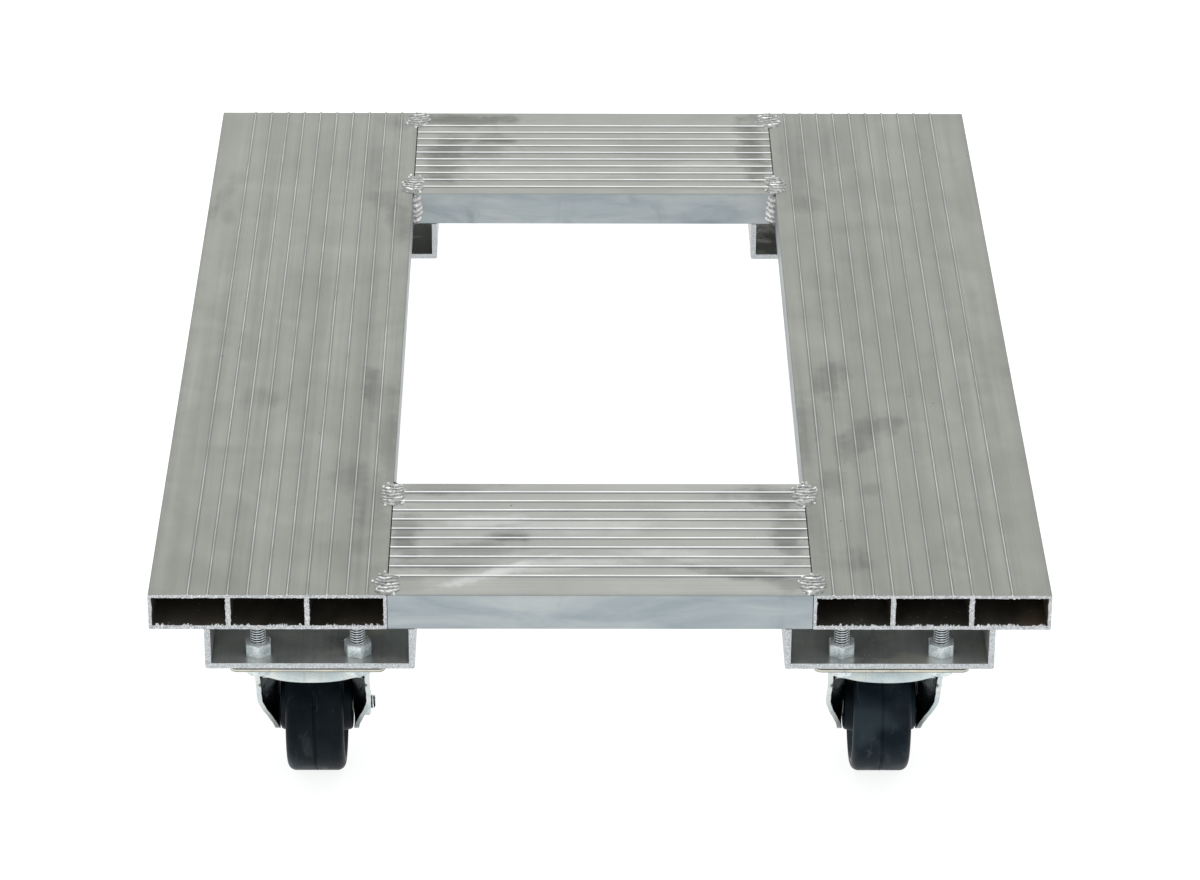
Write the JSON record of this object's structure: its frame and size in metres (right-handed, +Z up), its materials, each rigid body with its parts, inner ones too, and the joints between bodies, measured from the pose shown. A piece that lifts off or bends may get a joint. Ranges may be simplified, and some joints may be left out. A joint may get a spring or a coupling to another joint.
{
  "type": "furniture dolly",
  "caption": "Open rectangular dolly deck welded from ribbed hollow aluminium planks, carried on swivel plate casters with solid rubber wheels.",
  "frame": {"origin": "on the floor under the middle of the deck", "axes": "+X to the right across the deck, +Y along the deck from the front end to the rear end, +Z up"},
  "size_m": [0.4572, 0.6096, 0.1486],
  "materials": {
    "deck_aluminium": "mill finish with lengthwise drawing lines and handling stains",
    "channel_aluminium": "mill finish, dull inside, sawn ends",
    "weld_aluminium": "rippled weld metal",
    "zinc_steel": "zinc plated pressed steel",
    "bright_zinc": "bright zinc plated fasteners",
    "ball_steel": "polished bearing steel",
    "wheel_rubber": "hard moulded rubber, scuffed"
  },
  "bodies": {
    "root": {"side_plank_left": "deck_aluminium", "side_plank_right": "deck_aluminium", "cross_plank_front": "deck_aluminium", "cross_plank_rear": "deck_aluminium", "deck_weld_beads": "weld_aluminium", "opening_corner_welds": "weld_aluminium", "channel_weld_stitches": "weld_aluminium", "channel_front_left": "channel_aluminium", "caster_plate_front_left": "zinc_steel", "kingpin_front_left": "zinc_steel", "lower_cup_front_left": "zinc_steel", "mounting_bolts_front_left": "bright_zinc", "mounting_nuts_front_left": "bright_zinc", "channel_front_right": "channel_aluminium", "caster_plate_front_right": "zinc_steel", "kingpin_front_right": "zinc_steel", "lower_cup_front_right": "zinc_steel", "mounting_bolts_front_right": "bright_zinc", "mounting_nuts_front_right": "bright_zinc", "channel_rear_left": "channel_aluminium", "caster_plate_rear_left": "zinc_steel", "kingpin_rear_left": "zinc_steel", "lower_cup_rear_left": "zinc_steel", "mounting_bolts_rear_left": "bright_zinc", "mounting_nuts_rear_left": "bright_zinc", "channel_rear_right": "channel_aluminium", "caster_plate_rear_right": "zinc_steel", "kingpin_rear_right": "zinc_steel", "lower_cup_rear_right": "zinc_steel", "mounting_bolts_rear_right": "bright_zinc", "mounting_nuts_rear_right": "bright_zinc"},
    "swivel_front_left": {"fork_front_left": "zinc_steel", "upper_balls_front_left": "ball_steel", "lower_balls_front_left": "ball_steel", "axle_bolt_front_left": "bright_zinc", "axle_nut_front_left": "bright_zinc"},
    "roller_front_left": {"wheel_front_left": "wheel_rubber", "wheel_bushing_front_left": "ball_steel"},
    "swivel_front_right": {"fork_front_right": "zinc_steel", "upper_balls_front_right": "ball_steel", "lower_balls_front_right": "ball_steel", "axle_bolt_front_right": "bright_zinc", "axle_nut_front_right": "bright_zinc"},
    "roller_front_right": {"wheel_front_right": "wheel_rubber", "wheel_bushing_front_right": "ball_steel"},
    "swivel_rear_left": {"fork_rear_left": "zinc_steel", "upper_balls_rear_left": "ball_steel", "lower_balls_rear_left": "ball_steel", "axle_bolt_rear_left": "bright_zinc", "axle_nut_rear_left": "bright_zinc"},
    "roller_rear_left": {"wheel_rear_left": "wheel_rubber", "wheel_bushing_rear_left": "ball_steel"},
    "swivel_rear_right": {"fork_rear_right": "zinc_steel", "upper_balls_rear_right": "ball_steel", "lower_balls_rear_right": "ball_steel", "axle_bolt_rear_right": "bright_zinc", "axle_nut_rear_right": "bright_zinc"},
    "roller_rear_right": {"wheel_rear_right": "wheel_rubber", "wheel_bushing_rear_right": "ball_steel"}
  },
  "joints": [
    {"name": "swivel_joint_front_left", "type": "hinge", "parent": "root", "child": "swivel_front_left", "pos_m": [-0.1489, -0.2519, 0.10415], "axis": [0, 0, 1], "continuous": true},
    {"name": "wheel_joint_front_left", "type": "hinge", "parent": "swivel_front_left", "child": "roller_front_left", "pos_m": [-0.1489, -0.2233, 0.0365], "axis": [1, 0, 0], "continuous": true},
    {"name": "swivel_joint_front_right", "type": "hinge", "parent": "root", "child": "swivel_front_right", "pos_m": [0.1489, -0.2519, 0.10415], "axis": [0, 0, 1], "continuous": true},
    {"name": "wheel_joint_front_right", "type": "hinge", "parent": "swivel_front_right", "child": "roller_front_right", "pos_m": [0.1489, -0.2233, 0.0365], "axis": [1, 0, 0], "continuous": true},
    {"name": "swivel_joint_rear_left", "type": "hinge", "parent": "root", "child": "swivel_rear_left", "pos_m": [-0.1489, 0.2519, 0.10415], "axis": [0, 0, 1], "continuous": true},
    {"name": "wheel_joint_rear_left", "type": "hinge", "parent": "swivel_rear_left", "child": "roller_rear_left", "pos_m": [-0.1489, 0.2233, 0.0365], "axis": [1, 0, 0], "continuous": true},
    {"name": "swivel_joint_rear_right", "type": "hinge", "parent": "root", "child": "swivel_rear_right", "pos_m": [0.1489, 0.2519, 0.10415], "axis": [0, 0, 1], "continuous": true},
    {"name": "wheel_joint_rear_right", "type": "hinge", "parent": "swivel_rear_right", "child": "roller_rear_right", "pos_m": [0.1489, 0.2233, 0.0365], "axis": [1, 0, 0], "continuous": true}
  ]
}
